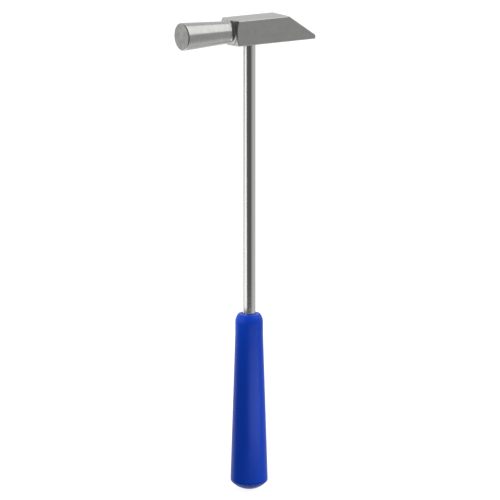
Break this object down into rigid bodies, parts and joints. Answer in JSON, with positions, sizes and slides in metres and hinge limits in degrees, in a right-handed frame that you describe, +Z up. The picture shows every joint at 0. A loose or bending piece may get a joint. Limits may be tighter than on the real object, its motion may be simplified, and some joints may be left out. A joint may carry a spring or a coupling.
{
  "type": "small hammer",
  "caption": "Slim hand hammer: steel head with a round flat face and a wedge peen, thin steel shaft and a tapered plastic grip with a domed end.",
  "frame": {"origin": "the point where the shaft's axis meets the underside of the head", "axes": "+Z up along the shaft towards the head's top, +X towards the wedge peen, -X towards the round striking face, Y across the head"},
  "size_m": [0.057, 0.0146, 0.1862],
  "materials": {
    "head_steel": "ground and turned, satin",
    "shaft_steel": "bright drawn, polished",
    "grip_plastic": "satin moulded, royal blue"
  },
  "bodies": {
    "root": {"hammer_head": "head_steel", "shaft_rod": "shaft_steel", "handle_grip": "grip_plastic"}
  },
  "joints": []
}
